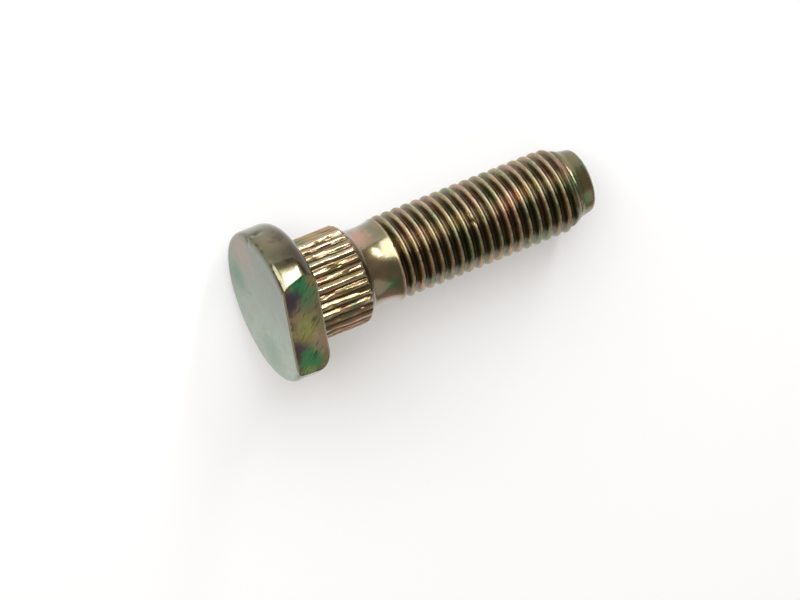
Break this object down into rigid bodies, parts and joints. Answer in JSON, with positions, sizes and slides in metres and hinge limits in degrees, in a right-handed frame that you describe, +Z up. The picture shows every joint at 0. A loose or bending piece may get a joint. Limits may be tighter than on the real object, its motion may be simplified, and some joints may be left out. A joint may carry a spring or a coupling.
{
  "type": "wheel stud",
  "caption": "Press-in wheel stud with a flatted round head, a serrated neck, a waisted plain neck, a threaded shank and a plain pilot tip.",
  "frame": {"origin": "on the surface it lies on, under the middle of its bounding box", "axes": "+Z up from the surface it lies on, +X along the stud from tip to head (its own axis rises about 7 degrees to the head), the flat of the head faces up"},
  "size_m": [0.05, 0.0214, 0.0194],
  "materials": {
    "passivated_steel": "steel with worn yellow-iridescent zinc passivation, olive to gold with green and pink patches"
  },
  "bodies": {
    "root": {"wheel_stud": "passivated_steel"}
  },
  "joints": []
}
